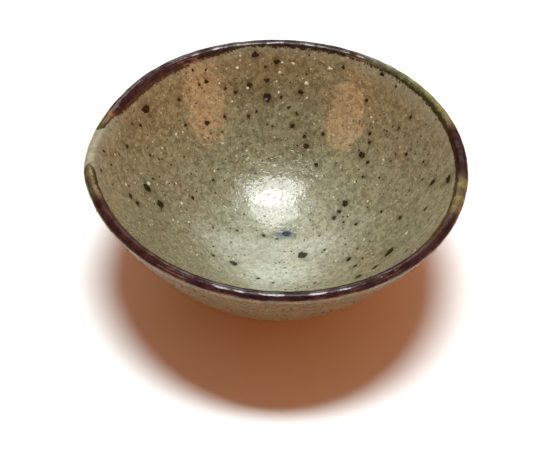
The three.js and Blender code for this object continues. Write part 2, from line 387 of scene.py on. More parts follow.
class Wiring:
    """Adds nodes to a tree and joins them. A value given for an input is set, and a socket is joined."""

    # The nodes' places in the editor: the width of a column, the height of a row, and how many are in a row
    COLUMN, ROW, IN_A_ROW = 220, 260, 24

    def __init__(self, tree):
        self.tree = tree
        self.count = 0

    def node(self, kind, inputs=(), **settings):
        made = self.tree.nodes.new(kind)
        row, column = divmod(self.count, self.IN_A_ROW)
        made.location = (self.COLUMN * column, -self.ROW * row)
        self.count += 1
        for key, value in settings.items():
            setattr(made, key, value)
        for key, value in dict(inputs).items():
            self.feed(made.inputs[key], value)
        return made

    def feed(self, socket, value):
        if isinstance(value, bpy.types.NodeSocket):
            self.tree.links.new(value, socket)
        else:
            socket.default_value = value

    def math(self, operation, *values):
        return self.node("ShaderNodeMath", dict(enumerate(values)), operation=operation).outputs[0]

    def times(self, product, *values):
        for value in values:
            product = self.math("MULTIPLY", product, value)
        return product

    def plus(self, value, step):
        return self.math("ADD", value, step)

    def minus(self, value, step):
        return self.math("SUBTRACT", value, step)

    def ramp(self, value, slope, start):
        return self.math("MULTIPLY_ADD", value, slope, start)

    def vector(self, operation, inputs, output=0):
        return self.node("ShaderNodeVectorMath", inputs, operation=operation).outputs[output]

    def scaled(self, vector, scale):
        return self.vector("MULTIPLY", {0: vector, 1: scale})

    def lengthened(self, vector, amount):
        return self.vector("SCALE", {0: vector, 3: amount})

    def moved(self, vector, step):
        return self.vector("ADD", {0: vector, 1: step})

    def parts(self, vector):
        return self.node("ShaderNodeSeparateXYZ", {0: vector}).outputs

    def color_parts(self, color):
        return self.node("ShaderNodeSeparateColor", {0: color}).outputs

    def together(self, x=0.0, y=0.0, z=0.0):
        return self.node("ShaderNodeCombineXYZ", {0: x, 1: y, 2: z}).outputs[0]

    def away(self, place, middle, scale):
        """How far a place is from a middle, with each direction counted at its own scale"""
        step = self.moved(place, tuple(-part for part in middle))
        return self.vector("LENGTH", {0: self.scaled(step, scale)}, "Value")

    def noise(self, vector, per_mm, detail=2.0, roughness=0.5, output=0):
        inputs = {"Vector": vector, "Scale": per_mm, "Detail": detail, "Roughness": roughness}
        return self.node("ShaderNodeTexNoise", inputs).outputs[output]

    def wobbled(self, vector, per_mm, reach):
        """Coordinates pushed about by noise, so that what is drawn on them comes out uneven"""
        push = self.moved(self.noise(vector, per_mm, output="Color"), (-0.5, -0.5, -0.5))
        return self.moved(vector, self.scaled(push, (reach, reach, reach)))

    def between(self, value, low, high, to_low=0.0, to_high=1.0):
        """The value's way from low to high, eased, as a share from to_low to to_high"""
        inputs = {0: value, 1: low, 2: high, 3: to_low, 4: to_high}
        return self.node("ShaderNodeMapRange", inputs, interpolation_type="SMOOTHSTEP").outputs[0]

    def mixed(self, factor, under, over, blend="MIX"):
        inputs = {0: factor, 6: under, 7: over}
        return self.node("ShaderNodeMix", inputs, data_type="RGBA", blend_type=blend).outputs[2]

    def over(self, look, factor, *color):
        """Lays a colour, given as it looks, over a look"""
        return self.mixed(factor, look, solid(fired(*color)))

    def dusted(self, look, value, *layers):
        """Lays colours over a look, each as a value goes from low to high, up to the layer's own strength"""
        for low, high, strength, *color in layers:
            look = self.over(look, self.between(value, low, high, 0.0, strength), *color)
        return look

    def tinted(self, look, factor, *tint):
        """Multiplies the parts of a look by the parts of a tint"""
        return self.mixed(factor, look, solid(tint), "MULTIPLY")

    def shaded(self, look, factor, shade):
        return self.mixed(factor, look, self.together(shade, shade, shade), "MULTIPLY")

    def read(self, name, output="Fac"):
        return self.node("ShaderNodeAttribute", attribute_name=name).outputs[output]

    def object_mm(self):
        """Object coordinates, in millimetres"""
        place = self.node("ShaderNodeTexCoord").outputs["Object"]
        return self.scaled(place, (1 / MM, 1 / MM, 1 / MM))

    def cells(self, vector, per_mm, share, size):
        """Round spots in a share of a scattered pattern's cells, from 0 between them to 1 in their middle"""
        cell = self.node("ShaderNodeTexVoronoi", {"Vector": vector, "Scale": per_mm}).outputs
        chance, breadth, _ = self.color_parts(cell["Color"])
        reach = self.ramp(breadth, size * 0.65, size * 0.35)
        spot = self.between(cell["Distance"], reach, self.times(reach, 0.66))
        return self.times(spot, self.math("LESS_THAN", chance, share))

    def bump(self, shader, height, distance, strength=1.0, sockets=("Normal",)):
        """Raises a height, in units of the distance, on the surface"""
        bump = self.node("ShaderNodeBump", {"Strength": strength, "Distance": distance, "Height": height})
        for key in sockets:
            self.feed(shader[key], bump.outputs[0])

    def named(self, name, kind="FLOAT"):
        """A mark of the mesh, in a geometry tree"""
        return self.node("GeometryNodeInputNamedAttribute", {0: name}, data_type=kind).outputs[0]

    def random(self, low, high, seed):
        return self.node("FunctionNodeRandomValue", {2: low, 3: high, "Seed": seed}).outputs[1]

    def end(self, geometry, finish):
        """Ends a geometry tree with plain geometry in its finish"""
        real = self.node("GeometryNodeRealizeInstances", {0: geometry}).outputs[0]
        dressed = self.node("GeometryNodeSetMaterial", {"Geometry": real, "Material": finish}).outputs[0]
        self.node("NodeGroupOutput", {0: dressed})


def solid(look):
    """A look as an opaque colour"""
    return (*look, 1)


def new_finish(name, roughness, coat=0.0, ior=1.5):
    """A new material, its shader's inputs with their plain numbers set, and the wiring of its nodes"""
    finish = bpy.data.materials.new(name)
    finish.use_nodes = True
    shader = finish.node_tree.nodes["Principled BSDF"].inputs
    plain = {"Roughness": roughness, "IOR": ior, "Coat Weight": coat, "Coat Roughness": 0.06}
    for key, value in plain.items():
        shader[key].default_value = value
    return finish, shader, Wiring(finish.node_tree)


def speckle(w, look, place, layers):
    """Lays layers of small spots over a look. Each is cells per mm, share, size, colour and strength."""
    place = w.wobbled(place, 1.6, 0.7)
    for at, (per_mm, part, size, spot_look, strength) in enumerate(layers):
        spots = w.cells(w.moved(place, (11.3 * (at + 1), 7.1, 3.7 * at)), per_mm, part, size)
        look = w.mixed(w.times(spots, strength), look, solid(spot_look))
    return look


def lip_band(w, under, place):
    """Lays the lip's iron band over the glaze under it, with its dark lines and its pale halo."""
    along = w.read("flow", "Vector")
    _, behind, fall = w.parts(along)
    flow = w.scaled(along, (1, 1, 0.35))
    ragged = w.ramp(w.noise(flow, 0.35, 3.0, 0.55), 1.6, -0.8)
    teeth = w.minus(w.noise(place, 1.0, 3.0, 0.7), 0.5)
    wander = w.plus(ragged, w.times(teeth, w.between(behind, 10, 50, 1.2, 4.4)))
    inward = w.plus(w.read("inward"), wander)
    outward = w.plus(w.read("outward"), w.times(wander, 0.3))
    inner_line, outer_line, spread = w.color_parts(w.read("band_lines", "Color"))
    # The pale halo inside the band, and a patchy tan line just past its outer edge
    halo = w.between(inward, w.ramp(spread, -6.0, -1.2), -0.2)
    flecks = w.between(w.noise(place, 0.7, 2.0, 0.6), 0.4, 0.6, 0.4, 1.0)
    look = w.over(under, w.times(halo, w.math("MINIMUM", spread, 1.4), flecks, 0.56), 148, 152, 132)
    shoulder = w.times(w.between(outward, -1.7, -0.7), w.between(outward, 0.1, -0.4),
                       w.between(spread, 1.35, 1.05, 0.0, 0.5))
    patchy = w.between(w.noise(flow, 0.2, 2.0), 0.36, 0.6, 0.35, 1.0)
    look = w.over(look, w.times(shoulder, patchy), 160, 137, 108)
    # The band's own glaze, cloudy, flecked and streaked
    tint = w.read("band_tint", "Color")
    body = w.mixed(w.between(fall, 0.6, -0.5), tint, w.read("band_edge", "Color"))
    clouds = w.noise(flow, 0.22, 3.0)
    body = w.tinted(body, w.between(clouds, 0.38, 0.62), 0.62, 0.56, 0.6)
    flecked = w.noise(place, 1.3, 3.0, 0.6)
    body = w.tinted(body, w.between(flecked, 0.45, 0.7, 0.0, 0.6), 0.5, 0.45, 0.4)
    streaks = w.noise(w.scaled(along, (0.5, 0.5, 1.6)), 0.9, 2.0, 0.6)
    body = w.tinted(body, w.between(streaks, 0.5, 0.62, 0.0, 0.6), 0.45, 0.42, 0.36)
    # The dark stretches turn redder towards their outer edge, but not in their streaks
    dark_glaze = w.between(w.color_parts(tint)[1], 0.06, 0.03)
    red = w.times(w.between(outward, 2.0, 0.4), dark_glaze)
    red = w.times(w.between(clouds, 0.48, 0.36, 0.0, 0.8), red, w.between(streaks, 0.58, 0.46))
    body = w.mixed(red, body, w.tinted(body, 1.0, 2.1, 0.95, 1.1))
    outside_band = w.between(outward, -0.1, 0.25)
    look = w.mixed(w.times(w.between(inward, -0.15, 0.2), outside_band), look, body)
    # The dark lines along the band's inner and outer edges
    width = w.read("line_width")
    inner = w.times(w.between(inward, -0.45, 0.05),
                    w.between(inward, w.plus(width, 0.3), w.plus(width, -0.3)), inner_line, outside_band)
    outer = w.times(w.between(outward, -0.6, 0.1), w.between(outward, 1.5, 0.9), outer_line)
    return w.over(look, w.times(w.math("MAXIMUM", inner, outer), 0.92), 50, 42, 21)


def orange_peel(w, place, shader, pimpled, creased, rolling):
    """The fired skin, in millimetres of height: fine pimples, sparse short creases and slow waves"""
    pimples = w.times(w.noise(place, 0.9, 1.5, 0.6), pimpled)
    fold = w.math("ABSOLUTE", w.minus(w.noise(w.moved(place, (5, 9, 2)), 0.5, 2.0, 0.6), 0.5))
    broken = w.between(w.noise(w.moved(place, (2, 8, 4)), 0.5, 2.0, 0.6), 0.5, 0.62)
    creases = w.times(w.between(fold, 0.13, 0.0), broken, creased)
    pits = w.times(w.cells(w.moved(place, (7, 3, 6)), 0.5, 0.5, 0.24), creased)
    height = w.minus(w.minus(pimples, creases), pits)
    height = w.ramp(w.noise(place, 0.3, 2.0), rolling, height)
    w.bump(shader, height, MM, sockets=("Normal", "Coat Normal"))


def ash_grain(w, place):
    return w.noise(place, 0.62, 2.0, 0.6)


def ash_look(w, looks, place):
    """The grey-green glaze, cloudy and peppered, browner at the back and paler where it pooled"""
    right, behind, fall = w.parts(w.read("flow", "Vector"))
    drift = w.times(w.ramp(right, -0.0012, w.noise(place, 0.05, 3.0, 0.55)), 0.5)
    clouds = w.between(w.plus(drift, w.times(w.noise(place, 0.15, 2.0), 0.5)), 0.42, 0.57)
    look = w.mixed(clouds, solid(looks.ash_green), solid(looks.ash_brown))
    back = w.times(w.between(fall, 48, 14), w.between(behind, -10, 62), 0.75)
    look = w.over(look, back, 115, 103, 71)
    bottom = w.between(w.away(place, (0, -15, 13), (0.032, 0.075, 0.03)), 1.15, 0.3)
    pool = w.math("MAXIMUM", w.between(fall, 40, 92, 0.0, 0.85), bottom)
    pool = w.plus(pool, w.ramp(clouds, -0.1, 0.03))
    look = w.mixed(pool, look, solid(looks.ash_pool))
    # The floor is paler in a soft patch at its near side
    near = w.away(place, (1, -22, 16), (0.07, 0.075, 0.04))
    look = w.tinted(look, w.between(near, 1.5, 0.3), 1.38, 1.42, 1.56)
    shade = w.between(w.noise(place, 0.38, 4.0, 0.65), 0.36, 0.64, 0.74, 1.26)
    look = w.shaded(look, w.ramp(pool, -0.5, 1.0), shade)
    # Painted light: the right wall is lightened as though more light falls on it from the left. The near
    # sides are a little paler than the rest
    look = w.tinted(look, w.between(right, 15, 62), 1.16, 1.09, 1.12)
    near_sides = w.times(w.between(fall, 36, 12), w.between(behind, 25, -35))
    look = w.tinted(look, near_sides, 1.3, 1.38, 1.48)
    grain = ash_grain(w, place)
    look = w.dusted(look, grain, (0.52, 0.66, 0.18, 150, 150, 118), (0.48, 0.34, 0.26, 40, 36, 18))
    pepper = w.noise(w.moved(place, (31, 7, 19)), 1.05, 1.0, 0.5)
    look = w.dusted(look, pepper, (0.58, 0.7, 0.24, 168, 162, 132), (0.42, 0.3, 0.32, 34, 28, 14))
    look = speckle(w, look, place, (
        (0.6, 0.5, 0.28, fired(76, 60, 34), 0.6),
        (0.3, 0.42, 0.21, fired(36, 27, 14), 0.9),
        (0.35, 0.55, 0.22, fired(180, 170, 140), 0.8),
        (0.7, 0.4, 0.26, tuple(looks.feldspar), 0.5),
        (0.26, 0.65, 0.16, fired(206, 196, 160), 0.9),
        (0.21, 0.5, 0.18, fired(34, 25, 12), 0.9),
    ))
    look = w.over(look, w.times(w.read("stain"), 0.7), 70, 52, 28)
    return w.over(look, w.times(w.read("blue_stain"), 0.8), 88, 90, 102)


def ash_finish(looks):
    """The glaze inside, glossy over its orange peel"""
    finish, shader, w = new_finish("ash_glaze", 0.15, 0.35)
    place = w.object_mm()
    w.feed(shader["Base Color"], lip_band(w, ash_look(w, looks, place), place))
    w.feed(shader["Roughness"], w.between(ash_grain(w, place), 0.3, 0.7, 0.06, 0.13))
    orange_peel(w, place, shader, 0.03, 0.045, 0.09)
    return finish


def lip_finish(looks):
    """The glaze over the lip, dark and glossy, which thins to tan, olive and pale stretches"""
    finish, shader, w = new_finish("iron_glaze", 0.2)
    place = w.object_mm()
    w.feed(shader["Base Color"], lip_band(w, ash_look(w, looks, place), place))
    w.feed(shader["Roughness"], w.between(w.noise(place, 0.8, 3.0, 0.6), 0.42, 0.66, 0.06, 0.2))
    # The lip shines in uneven patches, most at the near side. The plain level is for an export without them.
    right, behind, _ = w.parts(w.read("flow", "Vector"))
    near = w.between(w.math("ABSOLUTE", right), 60, 24, 0.18, 1.0)
    side = w.math("MAXIMUM", near, w.between(behind, 0, 40, 0.0, 0.85))
    glassy = w.between(w.noise(w.moved(place, (4, 4, 9)), 0.17, 3.0, 0.6), 0.42, 0.6, 0.12, 0.7)
    shader["Specular IOR Level"].default_value = 0.4
    w.feed(shader["Specular IOR Level"], w.times(glassy, side))
    orange_peel(w, place, shader, 0.015, 0.01, 0.12)
    return finish


def thin_finish(looks):
    """The thin glaze outside, where the brown clay shows through along the turning lines"""
    finish, shader, w = new_finish("thin_glaze", 0.26, 0.0, 1.38)
    place = w.object_mm()
    clouds = w.between(w.noise(place, 0.06, 3.0, 0.6), 0.35, 0.65)
    look = w.over(solid(looks.thin_glaze), clouds, 94, 77, 35)
    rings = w.noise(w.scaled(w.read("flow", "Vector"), (0.06, 0.06, 1)), 0.5, 3.0, 0.6)
    look = w.dusted(look, rings, (0.56, 0.72, 0.5, 94, 66, 42))
    shade = w.between(w.noise(place, 0.3, 4.0, 0.7), 0.36, 0.64, 0.6, 1.45)
    look = w.shaded(look, 1.0, shade)
    grain = w.noise(place, 0.9, 3.0, 0.7)
    look = w.dusted(look, grain, (0.54, 0.72, 0.5, 168, 141, 80), (0.46, 0.3, 0.65, 66, 46, 30))
    look = speckle(w, look, place, (
        (0.22, 0.5, 0.26, fired(74, 52, 34), 0.75),
        (0.5, 0.5, 0.26, fired(46, 34, 24), 0.85),
        (0.7, 0.4, 0.26, tuple(looks.feldspar), 0.65),
    ))
    w.feed(shader["Base Color"], lip_band(w, look, place))
    w.feed(shader["Roughness"], w.between(grain, 0.3, 0.7, 0.2, 0.42))
    orange_peel(w, place, shader, 0.09, 0.05, 0.2)
    return finish


def clay_finish(looks):
    """The bare fired clay, sandy and matt, with pale grit and iron grains"""
    finish, shader, w = new_finish("bare_clay", 0.85)
    place = w.object_mm()
    clouds = w.between(w.noise(place, 0.08, 3.0, 0.6), 0.35, 0.65)
    look = w.over(solid(looks.bare_clay), clouds, 150, 108, 74)
    grain = w.noise(place, 1.6, 4.0, 0.75)
    look = w.dusted(look, grain, (0.5, 0.75, 0.6, 182, 148, 110), (0.45, 0.25, 0.7, 84, 58, 40))
    look = speckle(w, look, place, (
        (0.5, 0.4, 0.3, fired(92, 62, 42), 0.8),
        (0.7, 0.4, 0.34, fired(198, 176, 142), 0.8),
        (1.2, 0.4, 0.34, fired(48, 34, 26), 0.9),
    ))
    # Painted shade: the clay just under the glaze's end is darkened, as a dark line along the foot of the
    # wall
    w.feed(shader["Base Color"], w.over(look, w.times(w.read("scorch"), 0.75), 78, 48, 32))
    w.feed(shader["Roughness"], w.between(grain, 0.3, 0.7, 0.72, 0.95))
    rough = w.ramp(w.noise(place, 0.7, 3.0, 0.7), 1.5, grain)
    pits = w.times(w.cells(w.moved(place, (3, 1, 8)), 0.7, 0.4, 0.3), 1.2)
    w.bump(shader, w.minus(rough, pits), 0.3 * MM)
    return finish


def spot_finish(name, dark, rim, roughness, sunk=None):
    """A spot burnt through the glaze, darker in its middle than at its rim

    A spot low on the floor is veiled by the pooled glaze, in the colour given as sunk.
    """
    finish, shader, w = new_finish(name, roughness, 0.0, 1.12)
    place = w.object_mm()
    mottle = w.noise(place, 1.5, 3.0, 0.7)
    look = w.mixed(w.between(mottle, 0.44, 0.62), solid(dark), solid(rim))
    if sunk:
        height = w.parts(place)[2]
        look = w.mixed(w.between(height, 24, 15, 0.0, 0.8), look, solid(sunk))
        fuzzy = w.between(w.noise(place, 1.3, 2.0, 0.6), 0.42, 0.62)
        look = w.tinted(look, w.times(fuzzy, w.between(height, 24, 15)), 2.0, 1.9, 1.8)
    w.feed(shader["Base Color"], look)
    w.bump(shader, mottle, 0.1 * MM, 0.7)
    return finish


def new_growth(name, sizes):
    """A geometry tree with its mesh, named sizes and finish going in and a mesh coming out, and its wiring"""
    tree = bpy.data.node_groups.new(name, "GeometryNodeTree")
    for way in ("INPUT", "OUTPUT"):
        tree.interface.new_socket("Mesh", in_out=way, socket_type="NodeSocketGeometry")
    for key, size in sizes.items():
        kind = "NodeSocketInt" if isinstance(size, int) else "NodeSocketFloat"
        tree.interface.new_socket(key, in_out="INPUT", socket_type=kind).default_value = size
    tree.interface.new_socket("Finish", in_out="INPUT", socket_type="NodeSocketMaterial")
    w = Wiring(tree)
    return tree, w, w.node("NodeGroupInput").outputs


def grown(piece, tree, values):
    """Runs a geometry tree on a piece and keeps what comes out as its plain mesh."""
    modifier = piece.modifiers.new(tree.name, "NODES")
    modifier.node_group = tree
    for entry in tree.interface.items_tree:
        if entry.in_out == "INPUT" and entry.name in values:
            modifier[entry.identifier] = values[entry.name]
    seen = bpy.context.evaluated_depsgraph_get()
    mesh = bpy.data.meshes.new_from_object(
        piece.evaluated_get(seen), preserve_all_data_layers=True, depsgraph=seen)
    piece.modifiers.remove(modifier)
    before, piece.data = piece.data, mesh
    mesh.name = piece.name
    bpy.data.meshes.remove(before)


# The sizes that go into each tree, as they start out
THROWING = {
    "Ring Spacing": 6.5 * MM, "Ring Depth": 0.012 * MM, "Unevenness": 0.14 * MM, "Lip Lumps": 0.5 * MM}
STREWN = {
    "Grains per Square Metre": 20000.0, "Smallest": 0.2 * MM, "Largest": 0.5 * MM, "Flatness": 0.3, "Seed": 1}


def throwing_marks():
    """The tree that raises a wall's throwing rings and its slow unevenness along each point's lean"""
    tree, w, entry = new_growth("throwing_marks", THROWING)
    place = w.node("GeometryNodeInputPosition").outputs[0]
    x, y, _ = w.parts(place)
    around = w.math("DIVIDE", w.math("ARCTAN2", y, x), TURN)
    fall = w.times(w.parts(w.named("flow", "FLOAT_VECTOR"))[2], MM)
    drift = w.noise(place, 45.0, 2.0)
    turns = w.plus(w.math("DIVIDE", fall, entry["Ring Spacing"]), w.plus(around, drift))
    ring = w.math("SINE", w.times(turns, TURN))
    fading = w.noise(place, 28.0, 1.0)
    ring = w.times(ring, fading, w.times(entry["Ring Depth"], 2.0))
    uneven = w.times(w.minus(w.noise(place, 90.0, 3.0), 0.5), entry["Unevenness"])
    near_lip = w.between(w.math("ABSOLUTE", fall), 7 * MM, 2 * MM)
    lumps = w.times(w.minus(w.noise(place, 230.0, 2.0), 0.5), entry["Lip Lumps"])
    amount = w.times(w.plus(ring, w.ramp(lumps, near_lip, uneven)), w.named("outer"))
    step = w.lengthened(w.named("lean", "FLOAT_VECTOR"), amount)
    moved = w.node("GeometryNodeSetPosition", {"Geometry": entry["Mesh"], "Offset": step}).outputs[0]
    w.end(moved, entry["Finish"])
    return tree


def scattered_grains():
    """The tree that strews flat, uneven grains over the outer skin of a coat"""
    tree, w, entry = new_growth("scattered_grains", STREWN)
    skin = w.node("FunctionNodeCompare", {0: w.named("outer"), 1: 0.9}, data_type="FLOAT",
                  operation="GREATER_THAN").outputs[0]
    points = w.node("GeometryNodeDistributePointsOnFaces", {
        "Mesh": entry["Mesh"], "Selection": skin, "Density": entry["Grains per Square Metre"],
        "Seed": entry["Seed"]}).outputs
    grain = w.node("GeometryNodeMeshUVSphere", {"Segments": 8, "Rings": 5, "Radius": 1.0}).outputs[0]
    size = w.random(entry["Smallest"], entry["Largest"], 5)
    shape = w.together(w.times(size, w.random(0.65, 1.3, 9)), size, w.times(size, entry["Flatness"]))
    strewn = w.node("GeometryNodeInstanceOnPoints", {
        "Points": points["Points"], "Instance": grain, "Rotation": points["Rotation"],
        "Scale": shape}).outputs[0]
    turn = w.together(z=w.random(0.0, TURN, 3))
    strewn = w.node("GeometryNodeRotateInstances", {"Instances": strewn, "Rotation": turn}).outputs[0]
    real = w.node("GeometryNodeRealizeInstances", {0: strewn}).outputs[0]
    wobble = w.noise(w.node("GeometryNodeInputPosition").outputs[0], 1900.0, output="Color")
    step = w.lengthened(w.vector("SUBTRACT", {0: wobble, 1: (0.5, 0.5, 0.5)}), 0.5 * MM)
    shaped = w.node("GeometryNodeSetPosition", {"Geometry": real, "Offset": step}).outputs[0]
    smooth = w.node("GeometryNodeSetShadeSmooth", {"Geometry": shaped}).outputs[0]
    w.end(smooth, entry["Finish"])
    return tree


def dress(piece, slot, *nodes):
    """Puts a finished piece on the bowl's body, in the place of its CAD nodes."""
    if nodes:
        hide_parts(*nodes)
    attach(piece, "root")


# Iron spots inside, picked out and carried onto the wall through the camera: degrees around, distance
# from the middle and width in millimetres, and how much longer than wide each is where that isn't 1
IRON_SPOTS = (
    (0, 60.1, 2.9, 0.6), (7, 42.9, 1.6), (9, 33.4, 1.6), (13, 59.3, 1.2), (23, 56.7, 1.8),
    (27, 27.3, 2), (29, 30.1, 2), (31, 33.5, 3.2, 1.1), (32, 63.2, 1.6), (34, 59.7, 1.2),
    (35, 43.7, 1.3), (38, 47.8, 1.7), (43, 48.4, 3, 1.1), (43, 52.4, 1.7), (44, 66.5, 1.3),
    (45, 54.4, 1.7), (51, 67.4, 2.2, 1.2), (53, 61, 1.7), (65, 39.5, 1.8), (66, 65.9, 1.7),
    (67, 49.1, 2), (74, 44.5, 2.5, 1.1), (76, 47.2, 1.5), (81, 58.7, 2.5, 1.2), (83, 49.7, 2.2, 1.2),
    (89, 57.1, 1.3), (91, 65.1, 2.6, 1.3), (95, 57.1, 4.2), (95, 61.1, 2.2, 1.2), (99, 66.8, 3),
    (100, 53.7, 1.3), (102, 60.4, 2.7), (104, 52.6, 1.7), (108, 59.2, 1.6, 1.4), (112, 60.6, 1.4),
    (115, 53.9, 1.7), (118, 65.8, 1.2), (119, 63.2, 2), (122, 63.2, 1.3), (123, 66.6, 1.2),
    (124, 8.7, 1.7), (124, 53.7, 2.2, 1.1), (132, 61.9, 1.7), (134, 55.8, 1.4), (135, 37.6, 1.3),
    (147, 64.3, 3.8, 1.5), (153, 62.3, 1.6), (154, 17.6, 1.2), (156, 37.8, 1.6), (156, 64, 1.3),
    (158, 55.6, 1.2), (165, 61.7, 1.8), (166, 51.4, 1.1), (173, 51.8, 4, 0.6), (176, 46.4, 3.6),
    (177, 66.4, 1.6), (179, 63.7, 1.1), (185, 56.7, 2.6, 1.5), (186, 54.1, 2.3, 1.5), (186, 66.4, 1.4),
    (203, 26.8, 1.6), (216, 20.3, 3, 1.4), (252, 20.8, 1.6), (269, 22.5, 1.3), (302, 29.9, 1.2),
    (315, 44.9, 3.2, 1.3), (321.5, 48.4, 2.7, 1.2), (325, 58.8, 1.9), (327, 37.5, 2, 1.1),
    (332, 49.3, 4.8, 1.4), (335, 32.4, 2.7, 1.3), (340, 12.1, 4.2), (345, 34.1, 1.2), (349, 58, 1.6),
    (351, 20.5, 1.4), (354, 64.9, 3.6, 1.3), (355, 49.1, 2.1),
)
# The blue smear on the floor, the stain around it, and how far the smear is turned
BLUE_SMEAR = (61, 9.6, 3.4, 1.6)
BLUE_STAIN = (63, 9.3, 7.2, 1.6)
SMEAR_LEAN = math.radians(28)
# Pale grains of the same kind, each large enough to be told apart, and the lilac heart of one iron spot
PALE_GRAINS = (
    (79, 60.9, 1.7, 1.2), (71, 64.9, 1.8, 1.5), (341, 52.9, 1.6, 1.2), (103, 59.7, 1.2, 1.2),
    (106, 64.6, 1.3), (90, 62.9, 1.2), (85, 64.9, 1.3, 1.4), (90, 58.2, 1, 0.8), (91, 60.8, 1, 0.7),
    (114, 65.4, 0.9), (89, 65, 1), (170, 51.9, 1.7, 1.2), (181, 58.4, 1.1), (157, 44.9, 1),
    (175, 35.4, 1.1), (78, 57.5, 1), (78, 64.1, 0.9), (37, 40.8, 1), (44, 35.3, 0.9), (180, 39.3, 0.9),
    (120, 47, 1), (62, 36, 1.2), (140, 55, 1.1), (20, 40, 1.1), (165, 40, 1.2), (205, 34, 1),
    (352, 36, 1.1), (48, 58, 1.1), (131, 40, 1),
)
LILAC_HEART = (95.3, 56.6, 1.3)


def spot_shape(degrees, distance, width, longer=1):
    """A spot's turn, its distance and width, and how much longer than wide it is"""
    return math.radians(degrees), distance, width, longer


def skin_of(*coats):
    """Finds the coats' skin straight below any place"""
    verts, faces = [], []
    for coat in coats:
        start = len(verts)
        verts += [v.co for v in coat.data.vertices]
        faces += [[start + corner for corner in face.vertices] for face in coat.data.polygons]
    tree = BVHTree.FromPolygons(verts, faces)

    def below(x, y):
        place, normal, _, _ = tree.ray_cast(Vector((x, y, OVER_THE_BOWL)), Vector((0, 0, -1)))
        if place is None:
            raise RuntimeError(f"no glaze under {x:.4f}, {y:.4f}")
        return place, normal

    return below


def spot_outline(seed, width, longer, lean, uneven):
    """The uneven outline of a burnt spot, as distances from its middle along the wall and down it"""
    rough = random.Random(seed)
    shift = Vector((rough.uniform(0, 50), rough.uniform(0, 50), 0))
    outline = []
    for step in range(SPOT_STEPS):
        turn = TURN * step / SPOT_STEPS
        out = Vector((math.cos(turn), math.sin(turn), 0))
        rough_edge = 0.55 * noise.noise(shift + out * 1.1) + 0.45 * noise.noise(shift + out * 3.4)
        reach = width / 2 * max(0.5, 1 + uneven * rough_edge)
        a, b = reach * out.x * math.sqrt(longer), reach * out.y / math.sqrt(longer)
        outline.append((a * math.cos(lean) - b * math.sin(lean), a * math.sin(lean) + b * math.cos(lean)))
    return outline


def add_spot(verts, faces, below, spot, seed, height, lean, uneven):
    """Adds one thin closed lens that lies in the skin, with its rim just under it."""
    turn, distance, width, longer = spot_shape(*spot)
    across, out = Vector((math.sin(turn), -math.cos(turn), 0)), Vector((math.cos(turn), math.sin(turn), 0))
    centre = out * distance * MM + middle_shift()
    middle, facing = below(centre.x, centre.y)
    outline = spot_outline(seed, width * MM, longer, lean, uneven)
    start, steps = len(verts), len(outline)
    for reach, lift in LENS_RINGS:
        for a, b in outline:
            offset = (across * a + out * b * facing.z) * reach
            place, face = below(centre.x + offset.x, centre.y + offset.y)
            verts.append(place + face * height * MM * lift)
    verts.append(middle + facing * height * MM)
    verts.append(middle - facing * height * MM * LENS_BOTTOM)
    top, bottom = len(verts) - 2, len(verts) - 1
    last = start + (len(LENS_RINGS) - 1) * steps
    pairs = [(step, (step + 1) % steps) for step in range(steps)]
    faces += [(ring + here, ring + next_, ring + steps + next_, ring + steps + here)
              for ring in range(start, last, steps) for here, next_ in pairs]
    for here, next_ in pairs:
        faces += [(last + here, last + next_, top), (start + next_, start + here, bottom)]


def lay_spots(name, slot, finish, below, spots, seed, height=0.05, lean=0.0, ragged=math.inf):
    """Makes one piece of its spots, in millimetres. The wider one is than ragged, the evener its outline."""
    verts, faces = [], []
    for at, spot in enumerate(spots):
        add_spot(verts, faces, below, spot, seed + at, height, lean, min(1.0, ragged / spot[2]))
    piece = new_piece(name, [tuple(v) for v in verts], faces)
    piece.data.materials.append(finish)
    dress(piece, slot)


def points_of(mesh):
    """The mesh's points as an array, counted from the foot's middle"""
    points = np.zeros(len(mesh.vertices) * 3, np.float32)
    mesh.vertices.foreach_get("co", points)
    return points.reshape(-1, 3) - np.array(middle_shift())


def stain_around_spots(mesh):
    """Marks a soft brown stain in the glaze around each iron spot, and the blue one around the smear."""
    points = points_of(mesh)[:, :2]
    stain = np.zeros(len(points))
    for spot in IRON_SPOTS:
        turn, distance, width, _ = spot_shape(*spot)
        x, y = distance * MM * math.cos(turn), distance * MM * math.sin(turn)
        gap = np.hypot(points[:, 0] - x, points[:, 1] - y)
        stain = np.maximum(stain, np.exp(-(gap / (STAIN_REACH * width * MM)) ** 2))
    mark(mesh, "stain", stain)
    turn, distance, width, longer = spot_shape(*BLUE_STAIN)
    away = points - distance * MM * np.array([math.cos(turn), math.sin(turn)])
    reach = width / 2 * MM * np.array([math.sqrt(longer), 1 / math.sqrt(longer)])
    mark(mesh, "blue_stain", np.exp(-np.sum((away / reach) ** 2, axis=1) ** 2))


def mark_painted_shade(mesh, section):
    """Marks a line of painted shade on the clay just under the glaze's end."""
    x, y, z = points_of(mesh).T
    end = np.interp(np.arctan2(y, x), section.angle, section.clay[1, -1], period=TURN)
    mark(mesh, "scorch", np.exp(-((end - z) / PAINTED_SHADE_REACH) ** 2))


def glazed(name, context, make_finish):
    """One coat of glaze, turned from its own run of the section, with its throwing marks and finish"""
    sizes = context.scene.bowl_sizes
    coat = turned(name, sizes, *Section(sizes).shell(name))
    tree = bpy.data.node_groups.get("throwing_marks") or throwing_marks()
    grown(coat, tree, {**THROWING, "Finish": make_finish(context.scene.bowl_looks)})
    return coat


class MakeInside(bpy.types.Operator):
    """Make the grey-green glaze coat inside the bowl"""
    bl_idname = "teabowl.make_inside"
    bl_label = "Inside glaze"

    def execute(self, context):
        coat = glazed("inside_coat", context, ash_finish)
        stain_around_spots(coat.data)
        dress(coat, "ash_glaze", "inside_glaze")
        return {"FINISHED"}


